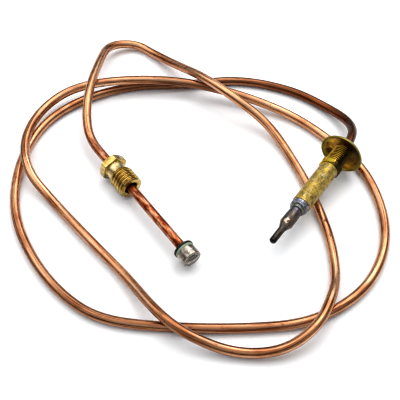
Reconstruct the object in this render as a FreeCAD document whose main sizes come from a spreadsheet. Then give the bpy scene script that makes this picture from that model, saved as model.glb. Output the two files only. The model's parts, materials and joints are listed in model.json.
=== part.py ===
import FreeCAD, Part
import math
import os
import re
import Sketcher

# A gas thermocouple lying on a table: a turned head with a sooty probe, a cup flange and a lock nut,
# and a long soft copper lead that ends in a contact button with a loose union nut behind it.
# Millimetres, +Z up. The origin is on the table under the middle of the head, whose axis runs
# along +X to the probe's tip. The contact end lies on a second straight line, at line_angle.

SIZES = {
    # the head's axis and the faces met along it, from the rear end to the tip
    "head_height": 7.25,
    "rear_end": -23.2,
    "flange_back": -21.1,
    "cup_floor": -20.5,
    "tube_seat": -19.0,
    "flange_land": -19.65,
    "flange_rim": -19.25,
    "relief_start": -12.2,
    "thread_end": -11.5,
    "stem_end": -8.5,
    "sleeve_end": 6.0,
    "ferrule_end": 7.9,
    "ring_end": 8.9,
    "sheath_shoulder": 14.8,
    "tip_start": 17.2,
    "bead_start": 21.7,
    "tip_end": 23.2,
    # pieces inside the head
    "liner_rear": -8.3,
    "crimp_rear": -7.5,
    "junction": -5.0,
    "crimp_front": -2.5,
    "liner_front": -1.7,
    "ferrule_tail": 2.0,
    "sheath_tail": 3.0,
    "ceramic_rear": 3.5,
    "ceramic_front": 14.5,
    # radii of the head's pieces
    "collar_small_radius": 1.9,
    "collar_large_radius": 2.5,
    "flange_radius": 7.25,
    "flange_back_radius": 6.0,
    "flange_wall": 0.35,
    "cup_floor_radius": 5.6,
    "flange_hole_radius": 2.6,
    "back_edge_fillet": 0.5,
    "lip_fillet": 0.15,
    "thread_radius": 3.0,
    "relief_radius": 2.55,
    "sleeve_radius": 3.05,
    "sleeve_bore_radius": 2.4,
    "ferrule_radius": 2.88,
    "ring_radius": 2.35,
    "sheath_radius": 2.03,
    "sheath_tail_radius": 1.6,
    "sheath_bore_radius": 1.0,
    "tip_radius": 1.1,
    "tip_bore_radius": 0.4,
    "bead_radius": 1.2,
    "ceramic_radius": 0.95,
    "ceramic_bore_radius": 0.35,
    "element_radius": 0.3,
    "liner_radius": 2.38,
    "crimp_radius": 0.95,
    # the lock nut on the head's thread
    "lock_nut_rear": -13.35,
    "lock_nut_front": -11.55,
    "lock_nut_flats": 7.0,
    "lock_nut_bore_radius": 3.04,
    "hexagon_chamfer": 0.3,
    # the copper lead: tube, insulation and wire
    "tube_radius": 1.5,
    "tube_bore_radius": 1.0,
    "insulation_radius": 0.98,
    "insulation_bore_radius": 0.52,
    "wire_radius": 0.5,
    # the line of the contact end, from a point beside the union nut, and the faces met along it
    "line_start_x": 24.3,
    "line_start_y": -62.5,
    "line_height": 4.6,
    "line_angle": 71.0,
    "nut_rear": 3.0,
    "nut_shoulder": 5.5,
    "nut_thread_start": 8.6,
    "nut_front": 15.3,
    "collar_rear": 43.6,
    "collar_front": 44.3,
    "washer_front": 45.1,
    "bush_front": 46.0,
    "solder_well": 47.5,
    "button_front": 48.5,
    # radii of the contact end's pieces
    "nut_flats": 8.0,
    "nut_neck_radius": 3.27,
    "nut_thread_radius": 4.0,
    "nut_thread_chamfer": 0.4,
    "nut_bore_radius": 2.25,
    "collar_radius": 3.27,
    "collar_chamfer": 0.12,
    "button_radius": 3.05,
    "button_fillet": 0.3,
    "bush_radius": 1.6,
    "well_radius": 1.2,
    "cap_radius": 2.6,
    "cap_rise": 0.3,
}
# degrees by which the two nuts are turned about their own axes
UNION_NUT_ROLL = 18.3
LOCK_NUT_ROLL = 14.0

os.makedirs("parts", exist_ok=True)
doc = FreeCAD.newDocument("thermocouple")
sheet = doc.addObject("Spreadsheet::Sheet", "sheet")
for row, (alias, value) in enumerate(SIZES.items(), start=1):
    sheet.set(f"A{row}", alias)
    sheet.set(f"B{row}", str(value))
    sheet.setAlias(f"B{row}", alias)
doc.recompute()

ALIASES = re.compile(r"\b(" + "|".join(SIZES) + r")\b")
X_AXIS = FreeCAD.Vector(1, 0, 0)
Z_AXIS = FreeCAD.Vector(0, 0, 1)
sub_parts = []


def size(alias):
    return sheet.get(alias)


def bind(feature, name, formula):
    """Bind a property or a constraint to a formula in the sheet's aliases."""
    feature.setExpression(name, ALIASES.sub(r"sheet.\1", formula))


# --- where the pieces stand ---

def on_head(piece, station, roll=0.0):
    """Put a piece, drawn from its own origin along +X, at a station of the head's axis."""
    piece.Placement = FreeCAD.Placement(FreeCAD.Vector(), FreeCAD.Rotation(X_AXIS, roll))
    bind(piece, "Placement.Base.x", station)
    bind(piece, "Placement.Base.z", "head_height")


def on_line(piece, station, roll=0.0):
    """Put a piece, drawn from its own origin along +X, at a station of the contact end's line."""
    turn = FreeCAD.Rotation(Z_AXIS, size("line_angle")) * FreeCAD.Rotation(X_AXIS, roll)
    piece.Placement = FreeCAD.Placement(FreeCAD.Vector(), turn)
    bind(piece, "Placement.Base.x", f"line_start_x + cos(line_angle) * ({station})")
    bind(piece, "Placement.Base.y", f"line_start_y + sin(line_angle) * ({station})")
    bind(piece, "Placement.Base.z", "line_height")


def line_point(station):
    """A point of the contact end's line."""
    angle = math.radians(size("line_angle"))
    start = FreeCAD.Vector(size("line_start_x"), size("line_start_y"), size("line_height"))
    return start + FreeCAD.Vector(math.cos(angle), math.sin(angle), 0) * station


# --- sketches and turned bodies ---

def new_body(label):
    body = doc.addObject("PartDesign::Body", label)
    body.Label = label
    return body


def new_sketch(body, role):
    """An empty sketch on one of the body's own origin planes."""
    sketch = body.newObject("Sketcher::SketchObject", body.Label + "_sketch")
    plane = next(item for item in body.Origin.OriginFeatures if item.Role == role)
    sketch.AttachmentSupport = [(plane, "")]
    sketch.MapMode = "FlatFace"
    return sketch


def draw_outline(sketch, origin, outline):
    """Draw a closed outline of (station, radius) formulas, its stations measured from origin."""
    count = len(outline)
    for index in range(count):
        start = FreeCAD.Vector(index, index % 2 + 1, 0)
        end = FreeCAD.Vector((index + 1) % count, (index + 1) % count % 2 + 1, 0)
        sketch.addGeometry(Part.LineSegment(start, end), False)
    for index in range(count):
        sketch.addConstraint(Sketcher.Constraint("Coincident", index, 2, (index + 1) % count, 1))
    for index, (station, radius) in enumerate(outline):
        if station == origin:
            sketch.addConstraint(Sketcher.Constraint("PointOnObject", index, 1, -2))
        else:
            number = sketch.addConstraint(Sketcher.Constraint("DistanceX", -1, 1, index, 1, 1.0))
            bind(sketch, f"Constraints[{number}]", f"({station}) - ({origin})")
        if radius == "0":
            sketch.addConstraint(Sketcher.Constraint("PointOnObject", index, 1, -1))
        else:
            number = sketch.addConstraint(Sketcher.Constraint("DistanceY", -1, 1, index, 1, 1.0))
            bind(sketch, f"Constraints[{number}]", radius)


def turn_about_axis(body, kind, origin, outline):
    """Turn an outline about the body's +X axis, as a Revolution or as a Groove."""
    sketch = new_sketch(body, "XY_Plane")
    draw_outline(sketch, origin, outline)
    feature = body.newObject("PartDesign::" + kind, body.Label + "_" + kind.lower())
    feature.Profile = sketch
    feature.ReferenceAxis = (sketch, ["H_Axis"])
    feature.Angle = 360.0
    doc.recompute()
    return feature


def turned(label, outline):
    """A body turned from one outline, whose first station is its own origin."""
    body = new_body(label)
    turn_about_axis(body, "Revolution", outline[0][0], outline)
    sub_parts.append(body)
    return body


def ring(label, rear, front, inner, outer):
    """A plain turned ring or rod between two stations."""
    return turned(label, [(rear, inner), (rear, outer), (front, outer), (front, inner)])


def round_edges(body, kind, edges, formula):
    """Fillet or chamfer the circular edges found at (station, radius) pairs."""
    base = body.Tip
    names = []
    for number, edge in enumerate(base.Shape.Edges, start=1):
        curve = edge.Curve
        if not isinstance(curve, Part.Circle):
            continue
        for station, radius in edges:
            if abs(curve.Center.x - station) < 1e-4 and abs(curve.Radius - radius) < 1e-4:
                names.append(f"Edge{number}")
    feature = body.newObject("PartDesign::" + kind, body.Label + "_" + kind.lower())
    feature.Base = (base, names)
    bind(feature, "Radius" if kind == "Fillet" else "Size", formula)
    body.Tip = feature
    doc.recompute()


def pad_hexagon(body, across_flats, length):
    """Pad a hexagon along +X, with two corners on the body's Y axis."""
    sketch = new_sketch(body, "YZ_Plane")
    corners = [FreeCAD.Vector(math.cos(k * math.pi / 3), math.sin(k * math.pi / 3), 0) for k in range(6)]
    for k in range(6):
        sketch.addGeometry(Part.LineSegment(corners[k], corners[(k + 1) % 6]), False)
    circle = sketch.addGeometry(Part.Circle(FreeCAD.Vector(), Z_AXIS, 1.0), True)
    sketch.addConstraint(Sketcher.Constraint("Coincident", circle, 3, -1, 1))
    for k in range(6):
        sketch.addConstraint(Sketcher.Constraint("Coincident", k, 2, (k + 1) % 6, 1))
        sketch.addConstraint(Sketcher.Constraint("PointOnObject", k, 1, circle))
    for k in range(1, 6):
        sketch.addConstraint(Sketcher.Constraint("Equal", 0, k))
    sketch.addConstraint(Sketcher.Constraint("PointOnObject", 0, 1, -1))
    number = sketch.addConstraint(Sketcher.Constraint("Radius", circle, 1.0))
    bind(sketch, f"Constraints[{number}]", f"{across_flats} / 2 / cos(30)")
    pad = body.newObject("PartDesign::Pad", body.Label + "_pad")
    pad.Profile = sketch
    bind(pad, "Length", length)
    doc.recompute()


def chamfer_corners(body, face, depth, across_flats):
    """Turn the hexagon's corners away at one end face, at 30 degrees; depth is signed."""
    outer = f"{across_flats} / 2 / cos(30) + hexagon_chamfer"
    inner = f"{across_flats} / 2 - hexagon_chamfer / 2"
    outline = [(face, inner), (face, outer), (f"{face} + {depth}", outer)]
    turn_about_axis(body, "Groove", "0", outline)


# --- the lead's path ---

def corner_arc(before, corner, after):
    """The arc that rounds a corner of the route, and its radius."""
    back = before - corner
    ahead = after - corner
    reach = 0.45 * min(back.Length, ahead.Length)
    back.normalize()
    ahead.normalize()
    half_turn = (math.pi - back.getAngle(ahead)) / 2
    radius = reach / math.tan(half_turn)
    inward = back + ahead
    inward.normalize()
    centre = corner + inward * math.hypot(radius, reach)
    start = corner + back * reach
    end = corner + ahead * reach
    return start, centre - inward * radius, end, radius


def lead_path(first, last):
    """Straight runs joined by tangent arcs along the route, with the given end points."""
    edges = []
    radii = []
    here = first
    for before, corner, after in zip(ROUTE, ROUTE[1:], ROUTE[2:]):
        start, middle, end, radius = corner_arc(before, corner, after)
        edges.append(Part.LineSegment(here, start).toShape())
        edges.append(Part.Arc(start, middle, end).toShape())
        radii.append(radius)
        here = end
    edges.append(Part.LineSegment(here, last).toShape())
    return Part.Wire(edges), radii


def swept(name, path, radius):
    """A round rod swept along a path that starts along -X."""
    spine = doc.addObject("Part::Feature", name + "_path")
    spine.Shape = path
    section = doc.addObject("Part::Circle", name + "_section")
    start = path.Edges[0].Vertexes[0].Point
    section.Placement = FreeCAD.Placement(start, FreeCAD.Rotation(Z_AXIS, X_AXIS * -1))
    bind(section, "Radius", radius)
    sweep = doc.addObject("Part::Sweep", name)
    sweep.Sections = [section]
    sweep.Spine = (spine, [])
    sweep.Solid = True
    sweep.Frenet = False
    return sweep


def swept_tube(label, path, radius, bore_radius):
    """A round tube along a path."""
    tube = doc.addObject("Part::Cut", label)
    tube.Base = swept(label + "_outside", path, radius)
    tube.Tool = swept(label + "_bore", path, bore_radius)
    tube.Label = label
    sub_parts.append(tube)
    return tube


# --- the head ---

def make_rear_braze_collar():
    collar = turned("rear_braze_collar", [
        ("rear_end", "tube_radius"),
        ("rear_end", "collar_small_radius"),
        ("flange_back", "collar_large_radius"),
        ("flange_back", "tube_radius"),
    ])
    on_head(collar, "rear_end")


def make_flange_cup():
    cup = turned("flange_cup", [
        ("flange_back", "flange_hole_radius"),
        ("flange_back", "flange_back_radius"),
        ("flange_land", "flange_radius"),
        ("flange_rim", "flange_radius"),
        ("flange_rim", "flange_radius - flange_wall"),
        ("cup_floor", "cup_floor_radius"),
        ("cup_floor", "flange_hole_radius"),
    ])
    depth = size("flange_rim") - size("flange_back")
    outside = size("flange_radius")
    round_edges(cup, "Fillet", [(0.0, size("flange_back_radius"))], "back_edge_fillet")
    round_edges(cup, "Fillet", [(depth, outside), (depth, outside - size("flange_wall"))], "lip_fillet")
    on_head(cup, "flange_back")


def make_threaded_stem():
    stem = turned("threaded_stem", [
        ("flange_back", "tube_radius"),
        ("flange_back", "flange_hole_radius"),
        ("cup_floor", "flange_hole_radius"),
        ("cup_floor", "thread_radius"),
        ("relief_start", "thread_radius"),
        ("relief_start", "relief_radius"),
        ("thread_end", "relief_radius"),
        ("thread_end", "sleeve_bore_radius"),
        ("stem_end", "sleeve_bore_radius"),
        ("stem_end", "tube_bore_radius"),
        ("tube_seat", "tube_bore_radius"),
        ("tube_seat", "tube_radius"),
    ])
    on_head(stem, "flange_back")


def make_lock_nut():
    nut = new_body("lock_nut")
    length = "lock_nut_front - lock_nut_rear"
    depth = "(lock_nut_flats / 2 / cos(30) - lock_nut_flats / 2 + hexagon_chamfer * 1.5) * tan(30)"
    pad_hexagon(nut, "lock_nut_flats", length)
    turn_about_axis(nut, "Groove", "0", [
        ("0", "0"), ("0", "lock_nut_bore_radius"), (length, "lock_nut_bore_radius"), (length, "0")])
    chamfer_corners(nut, "0", depth, "lock_nut_flats")
    chamfer_corners(nut, length, f"-{depth}", "lock_nut_flats")
    sub_parts.append(nut)
    on_head(nut, "lock_nut_rear", LOCK_NUT_ROLL)


def make_head_sleeve():
    sleeve = ring("head_sleeve", "thread_end", "sleeve_end", "sleeve_bore_radius", "sleeve_radius")
    on_head(sleeve, "thread_end")


def make_steel_ferrule():
    ferrule = turned("steel_ferrule", [
        ("ferrule_tail", "sheath_tail_radius"),
        ("ferrule_tail", "sleeve_bore_radius"),
        ("sleeve_end", "sleeve_bore_radius"),
        ("sleeve_end", "ferrule_radius"),
        ("ferrule_end", "ferrule_radius"),
        ("ferrule_end", "sheath_tail_radius"),
    ])
    on_head(ferrule, "ferrule_tail")


def make_ferrule_step_ring():
    step = ring("ferrule_step_ring", "ferrule_end", "ring_end", "sheath_tail_radius", "ring_radius")
    on_head(step, "ferrule_end")


def make_thermo_sheath():
    sheath = turned("thermo_sheath", [
        ("sheath_tail", "sheath_bore_radius"),
        ("sheath_tail", "sheath_tail_radius"),
        ("ring_end", "sheath_tail_radius"),
        ("ring_end", "sheath_radius"),
        ("sheath_shoulder", "sheath_radius"),
        ("tip_start", "tip_radius"),
        ("bead_start", "tip_radius"),
        ("bead_start", "tip_bore_radius"),
        ("tip_start", "tip_bore_radius"),
        ("sheath_shoulder", "sheath_bore_radius"),
    ])
    on_head(sheath, "sheath_tail")


def make_weld_bead():
    """A ball of weld metal on the probe's end, flat where it meets the sheath."""
    ball = doc.addObject("Part::Sphere", "bead_ball")
    bind(ball, "Radius", "bead_radius")
    bind(ball, "Placement.Base.x", "tip_end - bead_start - bead_radius")
    room = doc.addObject("Part::Cylinder", "bead_room")
    bind(room, "Radius", "bead_radius * 2")
    bind(room, "Height", "bead_radius * 2")
    room.Placement = FreeCAD.Placement(FreeCAD.Vector(), FreeCAD.Rotation(Z_AXIS, X_AXIS))
    bead = doc.addObject("Part::Common", "weld_bead")
    bead.Base = ball
    bead.Tool = room
    sub_parts.append(bead)
    on_head(bead, "bead_start")


def make_head_insides():
    """The wires' junction, its crimp and liner, and the probe's wire in its ceramic."""
    liner = ring("inner_insulating_sleeve", "liner_rear", "liner_front", "crimp_radius", "liner_radius")
    on_head(liner, "liner_rear")
    crimp = turned("cold_junction_crimp", [
        ("crimp_rear", "wire_radius"),
        ("crimp_rear", "crimp_radius"),
        ("crimp_front", "crimp_radius"),
        ("crimp_front", "element_radius"),
        ("junction", "element_radius"),
        ("junction", "wire_radius"),
    ])
    on_head(crimp, "crimp_rear")
    element = ring("element_wire", "junction", "bead_start", "0", "element_radius")
    on_head(element, "junction")
    ceramic = ring("ceramic_insulator", "ceramic_rear", "ceramic_front", "ceramic_bore_radius", "ceramic_radius")
    on_head(ceramic, "ceramic_rear")


# --- the contact end ---

def make_connection_nut():
    nut = new_body("connection_nut")
    hexagon_length = "nut_shoulder - nut_rear"
    depth = "(nut_flats / 2 / cos(30) - nut_flats / 2 + hexagon_chamfer * 1.5) * tan(30)"
    pad_hexagon(nut, "nut_flats", hexagon_length)
    turn_about_axis(nut, "Revolution", "nut_rear", [
        ("nut_rear", "0"),
        ("nut_rear", "nut_neck_radius"),
        ("nut_thread_start", "nut_neck_radius"),
        ("nut_thread_start + nut_thread_chamfer", "nut_thread_radius"),
        ("nut_front - nut_thread_chamfer", "nut_thread_radius"),
        ("nut_front", "nut_thread_radius - nut_thread_chamfer"),
        ("nut_front", "0"),
    ])
    turn_about_axis(nut, "Groove", "nut_rear", [
        ("nut_rear", "0"),
        ("nut_rear", "nut_bore_radius"),
        ("nut_front", "nut_bore_radius"),
        ("nut_front", "0"),
    ])
    chamfer_corners(nut, "0", depth, "nut_flats")
    sub_parts.append(nut)
    on_line(nut, "nut_rear", UNION_NUT_ROLL)


def make_contact_collar():
    collar = ring("contact_collar", "collar_rear", "collar_front", "tube_radius", "collar_radius")
    thickness = size("collar_front") - size("collar_rear")
    edges = [(0.0, size("collar_radius")), (thickness, size("collar_radius"))]
    round_edges(collar, "Chamfer", edges, "collar_chamfer")
    on_line(collar, "collar_rear")


def make_insulating_pieces():
    """The fibre washer that parts the button from the collar, and the bush through its middle."""
    washer = ring("insulating_washer", "collar_front", "washer_front", "bush_radius", "button_radius")
    on_line(washer, "collar_front")
    bush = ring("insulating_bush", "collar_front", "bush_front", "wire_radius", "bush_radius")
    on_line(bush, "collar_front")


def make_contact_button():
    button = turned("contact_button", [
        ("washer_front", "bush_radius"),
        ("washer_front", "button_radius"),
        ("button_front", "button_radius"),
        ("button_front", "well_radius"),
        ("solder_well", "well_radius"),
        ("solder_well", "wire_radius"),
        ("bush_front", "wire_radius"),
        ("bush_front", "bush_radius"),
    ])
    length = size("button_front") - size("washer_front")
    round_edges(button, "Fillet", [(length, size("button_radius"))], "button_fillet")
    on_line(button, "washer_front")


def make_contact_solder():
    """The solder that fills the button's well and stands on its face as a low dome."""
    along = FreeCAD.Rotation(Z_AXIS, X_AXIS)
    peg = doc.addObject("Part::Cylinder", "solder_peg")
    peg.Placement = FreeCAD.Placement(FreeCAD.Vector(), along)
    bind(peg, "Radius", "well_radius")
    bind(peg, "Height", "button_front - solder_well")
    disc = doc.addObject("Part::Cylinder", "solder_disc")
    disc.Placement = FreeCAD.Placement(FreeCAD.Vector(), along)
    bind(disc, "Placement.Base.x", "button_front - solder_well")
    bind(disc, "Radius", "cap_radius")
    bind(disc, "Height", "cap_rise * 2")
    dome_radius = "(cap_radius * cap_radius + cap_rise * cap_rise) / (2 * cap_rise)"
    ball = doc.addObject("Part::Sphere", "solder_ball")
    bind(ball, "Radius", dome_radius)
    bind(ball, "Placement.Base.x", f"button_front - solder_well + cap_rise - {dome_radius}")
    dome = doc.addObject("Part::Common", "solder_dome")
    dome.Base = disc
    dome.Tool = ball
    solder = doc.addObject("Part::Fuse", "contact_solder")
    solder.Base = peg
    solder.Tool = dome
    sub_parts.append(solder)
    on_line(solder, "solder_well")


# --- the lead ---

# The route of the lead's axis, chosen point by point: out of the head, two and a half loops on the
# table and over each other, and up into the straight stretch that carries the union nut. Its ends
# are the tube's seat in the head and the front of the contact collar.
HEAD_AXIS_HEIGHT = size("head_height")
ROUTE = [FreeCAD.Vector(*point) for point in [
    (size("tube_seat"), 0, HEAD_AXIS_HEIGHT), (-27.6, 0, HEAD_AXIS_HEIGHT),
    (-36.6, -5, 4.0), (-40.3, -16.3, 1.8), (-40.8, -31, 1.6), (-34.5, -49.5, 1.6),
    (-21, -63.5, 1.6), (-9.5, -79.5, 1.6), (8, -90.3, 1.6), (25, -92.3, 1.6),
    (42.5, -85.6, 1.6), (57, -73.5, 1.6), (66, -57.5, 1.6), (70.5, -42, 1.6),
    (70.5, -27.5, 1.6), (61.5, -10.5, 1.6), (49, 8, 1.6), (36.5, 22.5, 1.6),
    (19, 29.8, 1.6), (2.5, 28.3, 1.6), (-11.5, 20.5, 1.6), (-23.4, 6.8, 1.6),
    (-27.5, -8, 1.6), (-30, -22, 1.6), (-27.8, -36, 3.4), (-23.8, -51, 4.5),
    (-17.5, -65.5, 5.5), (-7.5, -80.5, 5.5), (5, -93, 4.8), (19, -95.8, 3.8),
    (33.5, -90, 5.6), (43, -80, 4.9), (45.7, -68, 1.6), (50.9, -48, 2.2),
    (54.7, -30.5, 1.8), (60.8, -14.5, 5.6), (61.5, -4, 4.8), (57.5, 9.5, 1.7),
    (49.5, 20.8, 2.8), (38.6, 25.1, 5.7), (27.6, 23.4, 5.0), (18.5, 20.2, 1.6),
    (7, 11.5, 1.6), (-5.5, -3, 1.6), (-16, -18.5, 1.6), (-20.5, -29.5, 4.0),
    (-19.5, -42, 9.2), (-21.5, -56, 9.4), (-25.4, -69.8, 4.3), (-27.7, -81.8, 1.7),
    (-28.2, -91.3, 2.0), (-20.2, -97.8, 3.8), (-8.5, -92, 7.6), (5.5, -84.8, 9.4),
    (15, -78.5, 7.0), tuple(line_point(-10.15)), tuple(line_point(size("collar_front"))),
]]


def make_lead():
    """Three coaxial pieces along one path: copper tube, woven insulation and inner wire."""
    tube_path, radii = lead_path(ROUTE[0], ROUTE[-1])
    inner_start = FreeCAD.Vector(size("stem_end"), 0, HEAD_AXIS_HEIGHT)
    insulation_path, _ = lead_path(inner_start, ROUTE[-1])
    wire_start = FreeCAD.Vector(size("junction"), 0, HEAD_AXIS_HEIGHT)
    wire_path, _ = lead_path(wire_start, line_point(size("solder_well")))
    swept_tube("lead_tube", tube_path, "tube_radius", "tube_bore_radius")
    swept_tube("lead_insulation", insulation_path, "insulation_radius", "insulation_bore_radius")
    sub_parts.append(swept("lead_wire", wire_path, "wire_radius"))
    doc.recompute()
    print(f"lead: {tube_path.Length:.1f} mm, arc radii {', '.join(f'{radius:.1f}' for radius in radii)}")
    section = math.pi * (size("tube_radius") ** 2 - size("tube_bore_radius") ** 2)
    volume = doc.getObject("lead_tube").Shape.Volume
    print(f"lead tube: volume {volume:.1f} mm3, section x length {section * tube_path.Length:.1f} mm3")


make_rear_braze_collar()
make_flange_cup()
make_threaded_stem()
make_lock_nut()
make_head_sleeve()
make_steel_ferrule()
make_ferrule_step_ring()
make_thermo_sheath()
make_weld_bead()
make_head_insides()
make_connection_nut()
make_contact_collar()
make_insulating_pieces()
make_contact_button()
make_contact_solder()
make_lead()
doc.recompute()

for item in doc.Objects:
    if "Invalid" in item.State or "Error" in item.State:
        raise RuntimeError(f"{item.Label} failed: {item.State}")
for piece in sub_parts:
    shape = piece.Shape
    if shape.isNull() or not shape.isValid() or len(shape.Solids) != 1:
        raise RuntimeError(f"{piece.Label} isn't one valid solid")
for piece in sub_parts:
    piece.Shape.exportStep(f"parts/{piece.Label}.step")
    print(f"{piece.Label}: {piece.Shape.Volume:.2f} mm3")
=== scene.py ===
import json
import math

import bmesh
import bpy
from mathutils import Matrix, Vector, noise


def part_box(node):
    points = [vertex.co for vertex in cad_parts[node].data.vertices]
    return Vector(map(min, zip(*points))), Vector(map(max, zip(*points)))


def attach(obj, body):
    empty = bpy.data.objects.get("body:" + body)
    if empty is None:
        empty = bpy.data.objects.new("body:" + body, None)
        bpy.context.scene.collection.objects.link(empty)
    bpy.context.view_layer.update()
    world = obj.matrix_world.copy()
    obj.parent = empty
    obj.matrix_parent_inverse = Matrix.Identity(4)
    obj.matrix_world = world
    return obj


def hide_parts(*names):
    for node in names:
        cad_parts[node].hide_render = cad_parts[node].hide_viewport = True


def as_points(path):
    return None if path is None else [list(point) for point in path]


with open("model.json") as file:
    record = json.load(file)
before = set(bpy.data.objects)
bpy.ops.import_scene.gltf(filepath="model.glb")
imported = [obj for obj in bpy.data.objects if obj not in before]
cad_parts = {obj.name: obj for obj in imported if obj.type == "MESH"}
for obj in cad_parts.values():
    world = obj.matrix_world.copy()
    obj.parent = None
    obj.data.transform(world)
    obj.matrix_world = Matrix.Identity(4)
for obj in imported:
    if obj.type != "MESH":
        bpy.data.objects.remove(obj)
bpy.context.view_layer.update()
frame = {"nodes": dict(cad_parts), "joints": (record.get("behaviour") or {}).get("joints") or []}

# A gas thermocouple on a white table. Turned pieces are built on two straight axes, the head's and the
# contact end's, and everything is in metres in the frame's own axes.

MM = 0.001
HEAD = "lead_and_head"

# Columns of points round a turned piece and round a hexagon, and the angle in degrees above which an
# edge is shaded sharp.
COLUMNS = 144
HEXAGON_COLUMNS = 180
SHARP_ANGLE = 35

CAMERA_PLACE = Vector((0.14362, 0.05882, 0.19701))
CAMERA_AIM = Vector((0.01769, -0.02969, 0.0))
LENS_MM = 70.3

# Each soft light: name, azimuth and elevation in degrees, distance and size in metres, and watts.
SOFT_LIGHTS = (
    ("key", 183, 56, 0.9, 0.7, 4.9),
    ("overhead", 225, 76, 1.2, 1.1, 4.0),
    ("left", 290, 54, 1.0, 0.8, 2.6),
)
LIGHT_AIM = Vector((0.015, -0.03, 0.0))

# The studio's brightness at each height of the direction looked in, 0 at the horizon and 1 overhead.
STUDIO_LEVELS = ((0.0, 0.6), (0.06, 0.6), (0.15, 0.03), (0.28, 0.03), (0.8, 0.8))
STUDIO_COLOUR = (0.95, 0.97, 1.0, 1.0)
FLOOR_COLOUR = (0.96, 0.96, 0.96, 1.0)
FLOOR_HALF = 3.0


# --- camera, floor and light ---

def facing(place, direction):
    """The matrix of a camera or light at a place, looking in a direction."""
    return Matrix.Translation(place) @ direction.to_track_quat("-Z", "Y").to_matrix().to_4x4()


def make_camera():
    data = bpy.data.cameras.new("camera")
    data.lens = LENS_MM
    data.sensor_width = 36.0
    data.clip_start = 0.01
    camera = bpy.data.objects.new("camera", data)
    bpy.context.scene.collection.objects.link(camera)
    camera.matrix_world = facing(CAMERA_PLACE, CAMERA_AIM - CAMERA_PLACE)
    bpy.context.scene.camera = camera


def area_light(name, azimuth, elevation, distance, size, power):
    """A square soft light that faces the object from a direction given in degrees."""
    data = bpy.data.lights.new(name, "AREA")
    data.shape = "SQUARE"
    data.size = size
    data.energy = power
    light = bpy.data.objects.new(name, data)
    bpy.context.scene.collection.objects.link(light)
    azimuth = math.radians(azimuth)
    elevation = math.radians(elevation)
    out = Vector((
        math.cos(elevation) * math.cos(azimuth),
        math.cos(elevation) * math.sin(azimuth),
        math.sin(elevation),
    ))
    light.matrix_world = facing(LIGHT_AIM + out * distance, -out)


def set_stops(node, stops):
    """Give a colour ramp its (position, colour) stops."""
    elements = node.color_ramp.elements
    while len(elements) < len(stops):
        elements.new(0.5)
    for element, (position, colour) in zip(elements, stops):
        element.position = position
        element.color = colour


def light_dome():
    """A studio all round: a pale line at the horizon, dark walls above it and a bright ceiling."""
    world = bpy.data.worlds.new("studio")
    world.use_nodes = True
    tree = world.node_tree
    background = tree.nodes["Background"]
    background.inputs["Color"].default_value = STUDIO_COLOUR
    direction = tree.nodes.new("ShaderNodeTexCoord")
    split = tree.nodes.new("ShaderNodeSeparateXYZ")
    rise = tree.nodes.new("ShaderNodeValToRGB")
    set_stops(rise, [(height, (level, level, level, 1.0)) for height, level in STUDIO_LEVELS])
    tree.links.new(direction.outputs["Generated"], split.inputs[0])
    tree.links.new(split.outputs["Z"], rise.inputs[0])
    tree.links.new(rise.outputs["Color"], background.inputs["Strength"])
    bpy.context.scene.world = world


def make_stage():
    """A plain white floor, a studio dome all round and soft lights above it."""
    mesh = bpy.data.meshes.new("floor")
    half = FLOOR_HALF
    corners = [(-half, -half, 0), (half, -half, 0), (half, half, 0), (-half, half, 0)]
    mesh.from_pydata(corners, [], [(0, 1, 2, 3)])
    floor = bpy.data.objects.new("floor", mesh)
    bpy.context.scene.collection.objects.link(floor)
    shade = Shade("floor")
    shade.finish(FLOOR_COLOUR, 0.7, metallic=0.0)
    mesh.materials.append(shade.material)
    light_dome()
    for light in SOFT_LIGHTS:
        area_light(*light)
    bpy.context.scene.view_settings.view_transform = "Standard"
    bpy.context.scene.cycles.filter_width = 1.1


# --- shader building ---

# How much brighter than its own colour a surface looks under these lights.
LIGHT_LEVEL = 1.14


def linear(value):
    """The standard sRGB curve, from a display value of 0 to 255 to a linear share."""
    share = value / 255
    if share <= 0.04045:
        return share / 12.92
    return ((share + 0.055) / 1.055) ** 2.4


def tint(red, green, blue):
    """A colour given as it looks under these lights, 0 to 255, as the shader's linear values."""
    return (linear(red) / LIGHT_LEVEL, linear(green) / LIGHT_LEVEL, linear(blue) / LIGHT_LEVEL, 1.0)


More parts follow.
